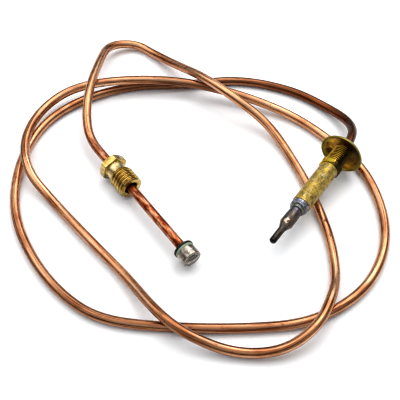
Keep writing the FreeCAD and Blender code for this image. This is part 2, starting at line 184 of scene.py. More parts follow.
class Shade:
    """One procedural material, with short calls that add its nodes."""

    def __init__(self, name):
        self.material = bpy.data.materials.new(name)
        self.material.use_nodes = True
        self.tree = self.material.node_tree
        self.shader = self.tree.nodes["Principled BSDF"]

    def feed(self, socket, value):
        if isinstance(value, bpy.types.NodeSocket):
            self.tree.links.new(value, socket)
        elif value is not None:
            socket.default_value = value

    def place(self):
        """The piece's own coordinates, in metres."""
        return self.tree.nodes.new("ShaderNodeTexCoord").outputs["Object"]

    def attribute(self, name, output="Fac"):
        node = self.tree.nodes.new("ShaderNodeAttribute")
        node.attribute_name = name
        return node.outputs[output]

    def stretch(self, vector, scale):
        node = self.tree.nodes.new("ShaderNodeMapping")
        self.feed(node.inputs["Vector"], vector)
        node.inputs["Scale"].default_value = scale
        return node.outputs["Vector"]

    def part(self, vector, axis):
        node = self.tree.nodes.new("ShaderNodeSeparateXYZ")
        self.feed(node.inputs[0], vector)
        return node.outputs[axis]

    def noise(self, vector, size, detail=4.0, roughness=0.55, distortion=0.0):
        """Noise whose features are about size metres across."""
        node = self.tree.nodes.new("ShaderNodeTexNoise")
        self.feed(node.inputs["Vector"], vector)
        node.inputs["Scale"].default_value = 1 / size
        node.inputs["Detail"].default_value = detail
        node.inputs["Roughness"].default_value = roughness
        node.inputs["Distortion"].default_value = distortion
        return node.outputs["Fac"]

    def cells(self, vector, size):
        """Distance from the nearest of many scattered points, size metres apart."""
        node = self.tree.nodes.new("ShaderNodeTexVoronoi")
        self.feed(node.inputs["Vector"], vector)
        node.inputs["Scale"].default_value = 1 / size
        return node.outputs["Distance"]

    def maths(self, operation, first, second):
        node = self.tree.nodes.new("ShaderNodeMath")
        node.operation = operation
        self.feed(node.inputs[0], first)
        self.feed(node.inputs[1], second)
        return node.outputs[0]

    def fade(self, value, low, high, start=0.0, end=1.0):
        """start where value is at low, end where it is at high, clamped and smooth between."""
        node = self.tree.nodes.new("ShaderNodeMapRange")
        node.interpolation_type = "SMOOTHSTEP"
        self.feed(node.inputs["Value"], value)
        node.inputs["From Min"].default_value = low
        node.inputs["From Max"].default_value = high
        node.inputs["To Min"].default_value = start
        node.inputs["To Max"].default_value = end
        return node.outputs["Result"]

    def band(self, value, low, high, edge):
        """1 where value lies between low and high, 0 outside, with soft edges."""
        rise = self.fade(value, low - edge, low + edge)
        return self.maths("MULTIPLY", rise, self.fade(value, high - edge, high + edge, 1.0, 0.0))

    def along(self, vector, direction):
        """How far a vector reaches in a direction."""
        node = self.tree.nodes.new("ShaderNodeVectorMath")
        node.operation = "DOT_PRODUCT"
        self.feed(node.inputs[0], vector)
        node.inputs[1].default_value = direction
        return node.outputs["Value"]

    def distance(self, vector, point):
        node = self.tree.nodes.new("ShaderNodeVectorMath")
        node.operation = "DISTANCE"
        self.feed(node.inputs[0], vector)
        node.inputs[1].default_value = point
        return node.outputs["Value"]

    def ramp(self, value, *stops):
        """A colour ramp; each stop is (position, colour)."""
        node = self.tree.nodes.new("ShaderNodeValToRGB")
        self.feed(node.inputs[0], value)
        set_stops(node, stops)
        return node.outputs["Color"]

    def mix(self, share, first, second):
        node = self.tree.nodes.new("ShaderNodeMix")
        node.data_type = "RGBA"
        self.feed(node.inputs[0], share)
        self.feed(node.inputs[6], first)
        self.feed(node.inputs[7], second)
        return node.outputs[2]

    def bump(self, height, depth, strength, below=None):
        """A bump whose height of 1 stands depth metres proud."""
        node = self.tree.nodes.new("ShaderNodeBump")
        node.inputs["Strength"].default_value = strength
        node.inputs["Distance"].default_value = depth
        self.feed(node.inputs["Height"], height)
        self.feed(node.inputs["Normal"], below)
        return node.outputs["Normal"]

    def finish(self, colour, roughness, metallic=1.0, normal=None):
        self.feed(self.shader.inputs["Base Color"], colour)
        self.feed(self.shader.inputs["Roughness"], roughness)
        self.feed(self.shader.inputs["Metallic"], metallic)
        self.feed(self.shader.inputs["Normal"], normal)
        return self.material


# --- materials ---

# Stretches of the lead that are tarnished: start and end along it in metres, and how strongly.
TARNISHED = ((0.085, 0.115, 0.9), (0.2, 0.29, 0.6), (0.405, 0.435, 0.95), (0.57, 0.605, 0.6))
TARNISH_EDGE = 0.02
# Where the lead turns redder on its way to the contact, and where the head's heat stops browning it.
REDDENS = (0.82, 0.85)
BROWNED = (0.075, 0.18)


def bare_copper():
    """Drawn copper tube: lengthwise streaks, dull patches and specks, heat-browned near the head
    and redder, mottled and scored on the straight stretch to the contact."""
    shade = Shade("bare_copper")
    tube = shade.attribute("tube_place", "Vector")
    along = shade.part(tube, "X")
    streaks = shade.noise(shade.stretch(tube, (0.03, 1, 1)), 0.7 * MM, 5)
    patches = shade.noise(shade.stretch(tube, (1, 2, 2)), 22 * MM, 4, 0.6)
    specks = shade.noise(shade.stretch(tube, (0.6, 1, 1)), 1.1 * MM, 3, 0.6)
    clean = shade.ramp(
        streaks,
        (0.34, tint(112, 60, 32)),
        (0.44, tint(190, 126, 84)),
        (0.56, tint(214, 154, 112)),
        (0.68, tint(238, 196, 160)),
    )
    dull = shade.ramp(
        streaks,
        (0.36, tint(76, 36, 18)),
        (0.48, tint(160, 94, 56)),
        (0.66, tint(206, 138, 94)),
    )
    colour = shade.mix(shade.fade(patches, 0.48, 0.64), clean, dull)
    mottle = shade.noise(shade.stretch(tube, (0.4, 1, 1)), 1.3 * MM, 4, 0.65)
    red = shade.ramp(
        mottle,
        (0.38, tint(84, 32, 12)),
        (0.47, tint(150, 66, 32)),
        (0.55, tint(184, 110, 70)),
        (0.66, tint(220, 166, 128)),
    )
    colour = shade.mix(shade.fade(along, *REDDENS), colour, red)
    scores = shade.noise(shade.stretch(tube, (0.04, 1, 1)), 0.45 * MM, 3)
    scored = shade.maths("MULTIPLY", shade.fade(scores, 0.54, 0.62), shade.fade(along, *REDDENS, 0, 0.75))
    colour = shade.mix(scored, colour, tint(92, 36, 14))
    colour = shade.mix(shade.fade(specks, 0.64, 0.71, 0, 0.85), colour, tint(66, 30, 20))
    tarnish = shade.ramp(streaks, (0.36, tint(50, 23, 11)), (0.62, tint(146, 88, 54)))
    for start, end, share in TARNISHED:
        zone = shade.maths("MULTIPLY", shade.band(along, start, end, TARNISH_EDGE), share)
        colour = shade.mix(zone, colour, tarnish)
    patina = shade.ramp(streaks, (0.36, tint(38, 15, 6)), (0.64, tint(116, 58, 27)))
    near_head = shade.maths("ADD", along, shade.maths("MULTIPLY", patches, 0.08))
    colour = shade.mix(shade.fade(near_head, *BROWNED, 0.94, 0), colour, patina)
    roughness = shade.fade(specks, 0.3, 0.75, 0.24, 0.42)
    lines = shade.bump(streaks, 0.05 * MM, 0.5)
    dents = shade.bump(shade.noise(tube, 3 * MM, 2), 0.12 * MM, 0.3, lines)
    return shade.finish(colour, roughness, normal=dents)


def union_brass():
    """Clean turned brass with a painted highlight on the neck, painted shade underneath and in the
    thread's grooves, and a dark paint mark on one flat."""
    shade = Shade("union_brass")
    place = shade.place()
    groove = shade.attribute("groove")
    rings = shade.noise(shade.stretch(place, (1, 0.02, 0.02)), 0.12 * MM, 3)
    stain = shade.noise(place, 1.6 * MM, 5, 0.65)
    colour = shade.ramp(
        stain,
        (0.32, tint(154, 116, 46)),
        (0.5, tint(198, 166, 84)),
        (0.68, tint(230, 204, 134)),
    )
    # Painted shade: the thread's grooves are darkened towards brown-black.
    colour = shade.mix(shade.fade(groove, 0.25, 0.9, 0, 0.75), colour, tint(116, 72, 16))
    start = contact_line.span("connection_nut")[0]
    # Painted highlight: a pale cream band round the neck.
    neck = shade.band(shade.part(place, "X"), start + 2.8 * MM, start + 5.2 * MM, 0.3 * MM)
    colour = shade.mix(shade.maths("MULTIPLY", neck, 0.6), colour, tint(240, 226, 176))
    # Painted shade: the brass darkens towards brown on the nut's underside.
    underside_shade = shade.along(place, (0, -0.8, -0.6))
    colour = shade.mix(shade.fade(underside_shade, 1.0 * MM, 3.6 * MM, 0, 0.7), colour, tint(96, 72, 30))
    flat = math.radians(30)
    outward = shade.along(place, (0, math.cos(flat), math.sin(flat)))
    across = shade.along(place, (0, math.sin(flat), -math.cos(flat)))
    edge = 0.08 * MM
    on_flat = shade.fade(outward, 3.6 * MM, 3.7 * MM)
    lengthwise = shade.band(shade.part(place, "X"), start + 0.35 * MM, start + 2.0 * MM, edge)
    crosswise = shade.band(across, -1.4 * MM, 0.1 * MM, edge)
    mark = shade.maths("MULTIPLY", shade.maths("MULTIPLY", on_flat, lengthwise), crosswise)
    colour = shade.mix(mark, colour, tint(62, 76, 76))
    roughness = shade.fade(stain, 0.3, 0.7, 0.33, 0.2)
    return shade.finish(colour, roughness, normal=shade.bump(rings, 0.01 * MM, 0.5))


def painted_shade_side(shade, place, colour, elevation, low, high):
    """Painted shade that darkens the head's +Y side to near black, at an elevation in degrees."""
    elevation = math.radians(elevation)
    side = shade.along(place, (0, math.cos(elevation), math.sin(elevation)))
    shade_reach = shade.maths("ADD", side, shade.maths("MULTIPLY", shade.noise(place, 1.2 * MM), 1.5 * MM))
    return shade.mix(shade.fade(shade_reach, low, high, 0, 0.94), colour, tint(26, 16, 8))


def head_thread_brass():
    """Dark brass thread: gold crests with painted shade in the grooves, and painted shade almost black on one
    side.
    """
    shade = Shade("head_thread_brass")
    place = shade.place()
    groove = shade.attribute("groove")
    stain = shade.noise(place, 1.3 * MM, 4, 0.6)
    colour = shade.ramp(stain, (0.35, tint(176, 132, 34)), (0.65, tint(226, 186, 70)))
    # Painted shade: the grooves are darkened to near black.
    colour = shade.mix(shade.fade(groove, 0.3, 0.62), colour, tint(14, 9, 4))
    # Painted shade on one side of the thread.
    colour = painted_shade_side(shade, place, colour, 0, 1.4 * MM, 2.6 * MM)
    return shade.finish(colour, 0.36, normal=shade.bump(stain, 0.05 * MM, 0.4))


def flange_brass():
    """Oxidised dish with turned rings and golden rays, painted shade over its upper side, and a rubbed
    olive-gold lip.
    """
    shade = Shade("flange_brass")
    place = shade.place()
    lip = shade.attribute("rub")
    rays = shade.noise(shade.stretch(place, (0.3, 1, 1)), 3.6 * MM, 4, 0.55)
    rings = shade.noise(shade.stretch(place, (6, 0.5, 0.5)), 0.5 * MM, 3)
    colour = shade.ramp(
        rays,
        (0.36, tint(66, 38, 12)),
        (0.48, tint(158, 110, 26)),
        (0.6, tint(236, 184, 44)),
    )
    # Painted shade: the dish darkens to dark brown over its upper side, with a ragged edge.
    painted_shade_upper = shade.along(place, (0, 0.6, 0.8))
    painted_shade_upper = shade.maths("ADD", painted_shade_upper, shade.maths("MULTIPLY", rays, 4 * MM))
    colour = shade.mix(shade.fade(painted_shade_upper, 1.0 * MM, 6.0 * MM, 0, 0.85), colour, tint(58, 34, 16))
    colour = shade.mix(lip, colour, tint(148, 130, 44))
    roughness = shade.fade(rays, 0.35, 0.65, 0.45, 0.3)
    return shade.finish(colour, roughness, normal=shade.bump(rings, 0.03 * MM, 0.4))


def lock_nut_brass():
    """Yellow brass with tan and brown stains, and painted shade darkening one side."""
    shade = Shade("lock_nut_brass")
    place = shade.place()
    stain = shade.noise(place, 1.8 * MM, 4, 0.6)
    colour = shade.ramp(
        stain,
        (0.35, tint(156, 120, 48)),
        (0.5, tint(212, 180, 48)),
        (0.68, tint(240, 212, 62)),
    )
    # Painted shade on one side of the nut.
    colour = painted_shade_side(shade, place, colour, -5, 2.4 * MM, 3.3 * MM)
    return shade.finish(colour, 0.36, normal=shade.bump(stain, 0.04 * MM, 0.35))


def sleeve_brass():
    """Mottled olive-yellow sleeve: pale bloom, brown stains and fine scratches round it."""
    shade = Shade("sleeve_brass")
    place = shade.place()
    blotches = shade.noise(place, 1.5 * MM, 5, 0.65, 0.8)
    bloom = shade.noise(shade.stretch(place, (0.7, 1, 1)), 1.1 * MM, 4, 0.6)
    scratches = shade.noise(shade.stretch(place, (1, 0.05, 0.05)), 0.16 * MM, 3)
    colour = shade.ramp(
        blotches,
        (0.36, tint(104, 82, 40)),
        (0.46, tint(156, 128, 50)),
        (0.56, tint(190, 158, 62)),
        (0.68, tint(218, 184, 50)),
    )
    colour = shade.mix(shade.fade(bloom, 0.53, 0.68, 0, 0.5), colour, tint(214, 206, 160))
    roughness = shade.fade(blotches, 0.3, 0.7, 0.62, 0.48)
    pits = shade.bump(blotches, 0.05 * MM, 0.5)
    return shade.finish(colour, roughness, 0.6, shade.bump(scratches, 0.02 * MM, 0.4, pits))


def tinted_steel(name, dark, middle, light, speck):
    """Heat-tinted steel in three tones, with dark specks."""
    shade = Shade(name)
    place = shade.place()
    cloud = shade.noise(place, 0.8 * MM, 5, 0.6, 0.5)
    specks = shade.noise(place, 0.35 * MM, 2)
    colour = shade.ramp(cloud, (0.34, dark), (0.5, middle), (0.68, light))
    colour = shade.mix(shade.fade(specks, 0.6, 0.7, 0, 0.75), colour, speck)
    roughness = shade.fade(cloud, 0.3, 0.7, 0.5, 0.34)
    return shade.finish(colour, roughness, 0.8, shade.bump(cloud, 0.04 * MM, 0.5))


def sooty_sheath():
    """Sooty brown-grey probe: purple-blue by the ring, a bare cream spot with a brown scab, darker to
    the tip."""
    shade = Shade("sooty_sheath")
    place = shade.place()
    end = head_line.span("thermo_sheath")[1]
    ring_end = head_line.span("ferrule_step_ring")[1]
    station = shade.part(place, "X")
    streaks = shade.noise(shade.stretch(place, (0.25, 1, 1)), 0.6 * MM, 5, 0.65)
    soot = shade.ramp(
        streaks,
        (0.32, tint(40, 34, 30)),
        (0.5, tint(84, 74, 66)),
        (0.68, tint(128, 112, 98)),
    )
    tinted = shade.ramp(streaks, (0.35, tint(64, 58, 74)), (0.65, tint(128, 120, 132)))
    colour = shade.mix(shade.fade(station, ring_end, ring_end + 3 * MM, 0.75, 0), soot, tinted)
    sooted = shade.fade(station, end - 7 * MM, end - 1 * MM, 0, 0.8)
    colour = shade.mix(sooted, colour, tint(28, 24, 22))
    ragged = shade.maths("MULTIPLY", shade.noise(place, 0.6 * MM, 3), 1.3 * MM)
    bare_place = (ring_end + 6.0 * MM, 0.15 * MM, 2.0 * MM)
    bare_reach = shade.maths("ADD", shade.distance(place, bare_place), ragged)
    bare = shade.fade(bare_reach, 1.45 * MM, 1.65 * MM, 1, 0)
    colour = shade.mix(bare, colour, tint(206, 186, 156))
    scab_place = (ring_end + 5.9 * MM, 0.7 * MM, 1.9 * MM)
    scab_reach = shade.maths("ADD", shade.distance(place, scab_place), ragged)
    scab = shade.fade(scab_reach, 1.05 * MM, 1.25 * MM, 1, 0)
    colour = shade.mix(scab, colour, tint(96, 62, 44))
    roughness = shade.fade(streaks, 0.3, 0.7, 0.52, 0.33)
    return shade.finish(colour, roughness, 0.85, shade.bump(streaks, 0.06 * MM, 0.5))


def bead_metal():
    """Glossy black weld metal."""
    shade = Shade("black_bead")
    cloud = shade.noise(shade.place(), 0.6 * MM, 4)
    colour = shade.ramp(cloud, (0.35, tint(14, 12, 12)), (0.7, tint(48, 42, 38)))
    return shade.finish(colour, 0.22, 0.9, shade.bump(cloud, 0.05 * MM, 0.5))


def collar_metal():
    """Black collar whose rim is worn to grey."""
    shade = Shade("collar_metal")
    cloud = shade.noise(shade.place(), 0.5 * MM, 4)
    colour = shade.ramp(cloud, (0.35, tint(9, 8, 8)), (0.7, tint(34, 29, 28)))
    colour = shade.mix(shade.attribute("rub"), colour, tint(150, 142, 134))
    return shade.finish(colour, 0.45, 0.8, shade.bump(cloud, 0.04 * MM, 0.5))


def green_fibre():
    """Sage-green pressed fibre."""
    shade = Shade("green_fibre")
    place = shade.place()
    fibres = shade.noise(shade.stretch(place, (3, 1, 1)), 0.35 * MM, 4)
    colour = shade.ramp(fibres, (0.35, tint(104, 124, 96)), (0.65, tint(156, 174, 142)))
    return shade.finish(colour, 0.75, 0.0, shade.bump(fibres, 0.05 * MM, 0.6))


def tinned_button():
    """Tinned button: silvery with turned rings and brown-grey stains."""
    shade = Shade("tinned_button")
    place = shade.place()
    stain = shade.noise(place, 1.2 * MM, 4, 0.6)
    rings = shade.noise(shade.stretch(place, (1, 0.03, 0.03)), 0.14 * MM, 3)
    colour = shade.ramp(
        stain,
        (0.34, tint(84, 72, 62)),
        (0.5, tint(146, 136, 124)),
        (0.68, tint(204, 196, 184)),
    )
    return shade.finish(colour, 0.3, normal=shade.bump(rings, 0.015 * MM, 0.5))


def pitted_solder():
    """Mottled grey-brown solder with dark pits."""
    shade = Shade("pitted_solder")
    place = shade.place()
    cloud = shade.noise(shade.stretch(place, (1, 0.4, 1)), 0.8 * MM, 5, 0.65, 0.8)
    pits = shade.cells(place, 0.8 * MM)
    colour = shade.ramp(
        cloud,
        (0.42, tint(30, 25, 22)),
        (0.51, tint(96, 87, 78)),
        (0.6, tint(190, 180, 168)),
    )
    colour = shade.mix(shade.fade(pits, 0.16, 0.3, 0.8, 0), colour, tint(26, 22, 20))
    dips = shade.bump(shade.fade(pits, 0.1, 0.4), 0.12 * MM, 0.7)
    return shade.finish(colour, 0.42, 0.9, shade.bump(cloud, 0.08 * MM, 0.5, dips))


def plain_finish(name, dark, light, roughness, metallic, grain):
    """A quiet two-tone finish for a piece that is mostly hidden."""
    shade = Shade(name)
    cloud = shade.noise(shade.place(), grain, 4)
    colour = shade.ramp(cloud, (0.35, dark), (0.65, light))
    return shade.finish(colour, roughness, metallic, shade.bump(cloud, 0.03 * MM, 0.4))


# --- axes and turned meshes ---

class Axis:
    """A straight axis that turned pieces sit on; stations run along it, in metres."""

    def __init__(self, origin, direction):
        self.origin = Vector(origin)
        self.direction = Vector(direction).normalized()
        turn = self.direction.to_track_quat("X", "Z").to_matrix().to_4x4()
        self.matrix = Matrix.Translation(self.origin) @ turn

    def span(self, node):
        """A CAD node's first and last stations and its outer radius about this axis."""
        stations = []
        radii = []
        for vertex in frame["nodes"][node].data.vertices:
            offset = vertex.co - self.origin
            station = offset.dot(self.direction)
            stations.append(station)
            radii.append((offset - self.direction * station).length)
        return min(stations), max(stations), max(radii)


def middle_of(node):
    low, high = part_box(node)
    return (low + high) / 2


union_joint = next(joint for joint in frame["joints"] if joint["name"] == "union_nut_slide")
head_line = Axis((0, 0, middle_of("head_sleeve").z), (1, 0, 0))
contact_line = Axis(middle_of("contact_collar"), union_joint["axis"])


def rounded(corners):
    """A profile from (station, radius) corners; a third number rounds that corner to that radius."""
    steps = 4
    points = []
    count = len(corners)
    for index, corner in enumerate(corners):
        here = Vector(corner[:2])
        radius = corner[2] if len(corner) > 2 else 0.0
        before = Vector(corners[index - 1][:2]) - here
        after = Vector(corners[(index + 1) % count][:2]) - here
        if radius == 0.0:
            points.append(tuple(here))
            continue
        half = before.angle(after) / 2
        reach = min(radius / math.tan(half), 0.49 * before.length, 0.49 * after.length)
        start = here + before.normalized() * reach
        end = here + after.normalized() * reach
        for step in range(steps + 1):
            share = step / steps
            curve = start * (1 - share) ** 2 + here * 2 * share * (1 - share) + end * share ** 2
            points.append(tuple(curve))
    return points


class Turned:
    """A mesh put together from strips of points round an axis."""

    def __init__(self):
        self.bm = bmesh.new()
        self.layers = {name: self.bm.verts.layers.float.new(name) for name in ("groove", "rub")}

    def strip(self, profile_at, columns=COLUMNS, marks=None, shift=0):
        """Skin a grid: profile_at(angle) gives each column's (station, radius) points.
        marks(station, radius) gives (layer name, value); shift joins the last column that many rows on."""
        grid = []
        for column in range(columns):
            angle = 2 * math.pi * column / columns
            line = []
            for station, radius in profile_at(angle):
                vertex = self.bm.verts.new((station, radius * math.cos(angle), radius * math.sin(angle)))
                if marks:
                    name, value = marks(station, radius)
                    vertex[self.layers[name]] = value
                line.append(vertex)
            grid.append(line)
        for column in range(columns):
            jump = shift if column == columns - 1 else 0
            following = grid[(column + 1) % columns]
            for row in range(len(grid[column]) - 1 - jump):
                self.bm.faces.new((
                    grid[column][row],
                    grid[column][row + 1],
                    following[row + 1 + jump],
                    following[row + jump],
                ))

    def finish(self, name, axis, body, slot, material, nodes, roll=0.0):
        """Close the mesh, put it on its axis and make it ride in place of the CAD nodes."""
        touching = 2e-7
        bmesh.ops.remove_doubles(self.bm, verts=self.bm.verts, dist=touching)
        bmesh.ops.dissolve_degenerate(self.bm, edges=self.bm.edges, dist=touching)
        bmesh.ops.recalc_face_normals(self.bm, faces=self.bm.faces)
        for edge in self.bm.edges:
            if len(edge.link_faces) == 2 and edge.calc_face_angle() > math.radians(SHARP_ANGLE):
                edge.smooth = False
        for face in self.bm.faces:
            face.smooth = True
        mesh = bpy.data.meshes.new(name)
        self.bm.to_mesh(mesh)
        self.bm.free()
        mesh.materials.append(material)
        piece = bpy.data.objects.new(name, mesh)
        bpy.context.scene.collection.objects.link(piece)
        piece.matrix_world = axis.matrix @ Matrix.Rotation(math.radians(roll), 4, "X")
        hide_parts(*nodes)
        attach(piece, body)
        return piece


def simple_turned(name, corners, axis, slot, material, nodes, marks=None, wobble=None):
    """A piece turned from one closed profile; wobble(station, angle) scales its radius."""
    points = rounded(corners)
    points.append(points[0])

    def profile_at(angle):
        if wobble is None:
            return points
        return [(station, radius * wobble(station, angle)) for station, radius in points]

    turned = Turned()
    turned.strip(profile_at, marks=marks)
    return turned.finish(name, axis, HEAD, slot, material, nodes)


# --- threads and hexagons ---

def thread_radius(station, angle, start, major, pitch, depth):
    """The radius of a right-hand thread at a station and an angle: straight flanks, partly eased."""
    root = 0.1
    flank = 0.74
    easing = 0.35
    phase = ((station - start) / pitch - angle / (2 * math.pi)) % 1.0
    rise = abs(2 * phase - 1)
    share = min(1.0, max(0.0, (rise - root) / flank))
    share = share * share * (3 - 2 * share) * easing + share * (1 - easing)
    return major - depth * (1 - share)


def thread_strip(turned, start, end, major, pitch, depth, lead_in, lead_out):
    """A threaded wall from start to end; it comes in and goes out over a cone of 45 degrees."""
    rows_a_turn = 16
    spare_turns = 3
    row_count = int((end - start) / pitch * rows_a_turn) + spare_turns * rows_a_turn

    def radius_at(station, angle):
        limit = major - depth + min((station - start) + lead_in, (end - station) + lead_out)
        return min(thread_radius(station, angle, start, major, pitch, depth), max(limit, major - depth))

    def profile_at(angle):
        points = []
        for row in range(row_count):
            station = start + pitch * (row / rows_a_turn - spare_turns / 2 + angle / (2 * math.pi))
            station = min(max(station, start), end)
            points.append((station, radius_at(station, angle)))
        return points

    def marks(station, radius):
        return "groove", (major - radius) / depth

    turned.strip(profile_at, marks=marks, shift=rows_a_turn)
    return radius_at


def hexagon_radius(angle, apothem):
    """The radius of a hexagon with slightly softened corners, one of them at angle 0."""
    softness = 0.12 * MM
    folded = (angle % (math.pi / 3)) - math.pi / 6
    radius = apothem / math.cos(folded)
    corner = apothem / math.cos(math.pi / 6)
    over = max(0.0, radius - (corner - softness))
    return radius - over * over / (2 * softness)


def hexagon_points(angle, start, end, apothem, inner_start, inner_end, chamfer_end):
    """One column of a hexagon: up its first face, over the chamfer and down its last face."""
    radius = hexagon_radius(angle, apothem)
    face_inset = 0.12 * MM
    flat = apothem - face_inset
    drop = (radius - flat) * math.tan(math.radians(30))
    points = [(start, inner_start), (start, flat, 0.05 * MM), (start + drop, radius, 0.04 * MM)]
    if chamfer_end:
        points += [(end - drop, radius, 0.04 * MM), (end, flat, 0.05 * MM), (end, inner_end)]
    else:
        points += [(end, radius, 0.06 * MM), (end, inner_end)]
    return points


# --- the lead ---

# The route of the lead's axis, in the frame's metres: out of the head, two and a half loops on the
# table and over each other, and up into the straight stretch that carries the union nut.
tube_seat = head_line.origin + Vector((-19.0 * MM, 0, 0))
tube_end = contact_line.origin + contact_line.direction * 0.35 * MM
straight_start = contact_line.origin - contact_line.direction * 54.1 * MM
ROUTE = [
    tuple(tube_seat), (-0.0276, 0, head_line.origin.z),
    (-0.0366, -0.005, 0.004), (-0.0403, -0.0163, 0.0018), (-0.0408, -0.031, 0.0016),
    (-0.0345, -0.0495, 0.0016), (-0.021, -0.0635, 0.0016), (-0.0095, -0.0795, 0.0016),
    (0.008, -0.0903, 0.0016), (0.025, -0.0923, 0.0016), (0.0425, -0.0856, 0.0016),
    (0.057, -0.0735, 0.0016), (0.066, -0.0575, 0.0016), (0.0705, -0.042, 0.0016),
    (0.0705, -0.0275, 0.0016), (0.0615, -0.0105, 0.0016), (0.049, 0.008, 0.0016),
    (0.0365, 0.0225, 0.0016), (0.019, 0.0298, 0.0016), (0.0025, 0.0283, 0.0016),
    (-0.0115, 0.0205, 0.0016), (-0.0234, 0.0068, 0.0016), (-0.0275, -0.008, 0.0016),
    (-0.03, -0.022, 0.0016), (-0.0278, -0.036, 0.0034), (-0.0238, -0.051, 0.0045),
    (-0.0175, -0.0655, 0.0055), (-0.0075, -0.0805, 0.0055), (0.005, -0.093, 0.0048),
    (0.019, -0.0958, 0.0038), (0.0335, -0.09, 0.0056), (0.043, -0.08, 0.0049),
    (0.0457, -0.068, 0.0016), (0.0509, -0.048, 0.0022), (0.0547, -0.0305, 0.0018),
    (0.0608, -0.0145, 0.0056), (0.0615, -0.004, 0.0048), (0.0575, 0.0095, 0.0017),
    (0.0495, 0.0208, 0.0028), (0.0386, 0.0251, 0.0057), (0.0276, 0.0234, 0.005),
    (0.0185, 0.0202, 0.0016), (0.007, 0.0115, 0.0016), (-0.0055, -0.003, 0.0016),
    (-0.016, -0.0185, 0.0016), (-0.0205, -0.0295, 0.004), (-0.0195, -0.042, 0.0092),
    (-0.0215, -0.056, 0.0094), (-0.0254, -0.0698, 0.0043), (-0.0277, -0.0818, 0.0017),
    (-0.0282, -0.0913, 0.002), (-0.0202, -0.0978, 0.0038), (-0.0085, -0.092, 0.0076),
    (0.0055, -0.0848, 0.0094), (0.015, -0.0785, 0.007), tuple(straight_start),
    tuple(straight_start + contact_line.direction * 11.6 * MM), tuple(tube_end),
]


def spline_points(route):
    """The smooth line of a NURBS spline whose control points are the route."""
    curve = bpy.data.curves.new("lead_line", "CURVE")
    curve.dimensions = "3D"
    spline = curve.splines.new("NURBS")
    spline.points.add(len(route) - 1)
    for point, place in zip(spline.points, route):
        point.co = (*place, 1.0)
    spline.order_u = 3
    spline.use_endpoint_u = True
    spline.resolution_u = 16
    line = bpy.data.objects.new("lead_line", curve)
    mesh = bpy.data.meshes.new_from_object(line)
    points = [vertex.co.copy() for vertex in mesh.vertices]
    bpy.data.meshes.remove(mesh)
    bpy.data.objects.remove(line)
    return points


def make_lead():
    """The copper tube: rings of points that follow the spline without twisting."""
    radius = 1.5 * MM
    sides = 28
    dents_a_metre = 160
    dents_around = 0.7
    dent_share = 0.012
    line = spline_points(ROUTE)
    bm = bmesh.new()
    layer = bm.verts.layers.float_vector.new("tube_place")
    side = Vector((0, 1, 0))
    along = 0.0
    rings = []
    for index, point in enumerate(line):
        ahead = line[min(index + 1, len(line) - 1)] - line[max(index - 1, 0)]
        ahead.normalize()
        side = (side - ahead * side.dot(ahead)).normalized()
        up = ahead.cross(side)
        if index:
            along += (point - line[index - 1]).length
        circle = []
        for step in range(sides):
            angle = 2 * math.pi * step / sides
            out = side * math.cos(angle) + up * math.sin(angle)
            around = (math.cos(angle) * dents_around, math.sin(angle) * dents_around)
            dent = noise.noise(Vector((along * dents_a_metre, *around)))
            vertex = bm.verts.new(point + out * radius * (1 + dent_share * dent))
            vertex[layer] = (along, radius * math.cos(angle), radius * math.sin(angle))
            circle.append(vertex)
        rings.append(circle)
    for first, second in zip(rings, rings[1:]):
        for step in range(sides):
            turn = (step + 1) % sides
            bm.faces.new((first[step], first[turn], second[turn], second[step]))
    bm.faces.new(rings[0][::-1])
    bm.faces.new(rings[-1])
    for face in bm.faces:
        face.smooth = len(face.verts) == 4
    mesh = bpy.data.meshes.new("copper_lead")
    bm.to_mesh(mesh)
    bm.free()
    mesh.materials.append(bare_copper())
    lead = bpy.data.objects.new("copper_lead", mesh)
    bpy.context.scene.collection.objects.link(lead)
    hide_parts("lead_tube", "lead_insulation", "lead_wire")
    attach(lead, HEAD)
    return lead, line


# --- the head ---

def make_flange():
    back, rim, radius = head_line.span("flange_cup")
    stem_radius = head_line.span("threaded_stem")[2]
    floor = back + 0.6 * MM
    hole = stem_radius - 0.4 * MM
    wall = 0.3 * MM

    def marks(station, point_radius):
        near_rim = station > rim - 0.55 * MM
        return "rub", float(near_rim)

    corners = [
        (back, hole),
        (back, radius - 1.25 * MM, 0.5 * MM),
        (rim - 0.4 * MM, radius, 0.3 * MM),
        (rim, radius, 0.12 * MM),
        (rim, radius - wall, 0.12 * MM),
        (rim - 0.5 * MM, radius - wall - 0.3 * MM, 0.3 * MM),
        (floor, radius - 1.8 * MM, 1.2 * MM),
        (floor, hole),
    ]
    simple_turned("flange_dish", corners, head_line, "flange_brass", flange_brass(), ["flange_cup"], marks)


def make_stem():
    back, _, radius = head_line.span("threaded_stem")
    sleeve_start = head_line.span("head_sleeve")[0]
    end = sleeve_start - 0.7 * MM
    relief = 2.55 * MM
    depth = 0.45 * MM
    floor = back + 0.6 * MM
    pitch = 0.75 * MM
    bore = 1.0 * MM
    tube_radius = 1.5 * MM
    spigot = radius - 0.4 * MM
    turned = Turned()
    radius_at = thread_strip(turned, floor, end, radius, pitch, depth, depth, depth)

    def ends_profile(angle):
        """From the thread's front end, in through the bore and out to its rear end."""
        return [
            (end, radius_at(end, angle)),
            (end, relief),
            (sleeve_start, relief),
            (sleeve_start, bore),
            (tube_seat.x, bore),
            (tube_seat.x, tube_radius),
            (back, tube_radius),
            (back, spigot),
            (floor, spigot),
            (floor, radius_at(floor, angle)),
        ]

    turned.strip(ends_profile)
    turned.finish("head_thread", head_line, HEAD, "stem_brass", head_thread_brass(), ["threaded_stem"])


